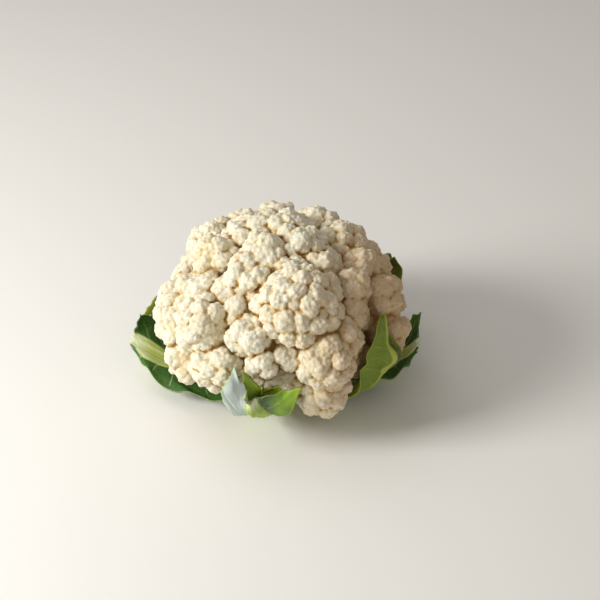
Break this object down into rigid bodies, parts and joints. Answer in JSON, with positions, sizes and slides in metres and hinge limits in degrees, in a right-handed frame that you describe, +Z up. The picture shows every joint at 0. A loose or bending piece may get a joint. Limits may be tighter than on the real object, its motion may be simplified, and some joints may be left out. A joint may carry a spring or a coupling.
{
  "type": "cauliflower",
  "caption": "Trimmed head of cauliflower with a knobbly white curd of florets, a cut stem and short cut green leaves round its lower half.",
  "frame": {"origin": "middle of the flat cut face under the stem, which the head stands on", "axes": "+Z up through the head; -Y faces the front of the head, as the picture sees it; +X is the head's right side in that view"},
  "size_m": [0.1934, 0.189, 0.1243],
  "materials": {
    "curd": "creamy white buds, tan in the creases; plant flesh",
    "stem": "pale green stalk with a moist cut face; plant flesh",
    "inner_leaf": "yellow-green leaf with pale ribs and a waxy bloom",
    "outer_leaf": "dark green leaf with pale ribs, slightly glossy"
  },
  "bodies": {
    "root": {"curd": "curd", "stem": "stem", "leaf_left": "outer_leaf", "leaf_front": "inner_leaf", "leaf_front_inner": "outer_leaf", "leaf_right_front": "inner_leaf", "leaf_right": "outer_leaf", "leaf_back_right": "outer_leaf", "leaf_back": "outer_leaf", "leaf_back_left": "inner_leaf"}
  },
  "joints": []
}
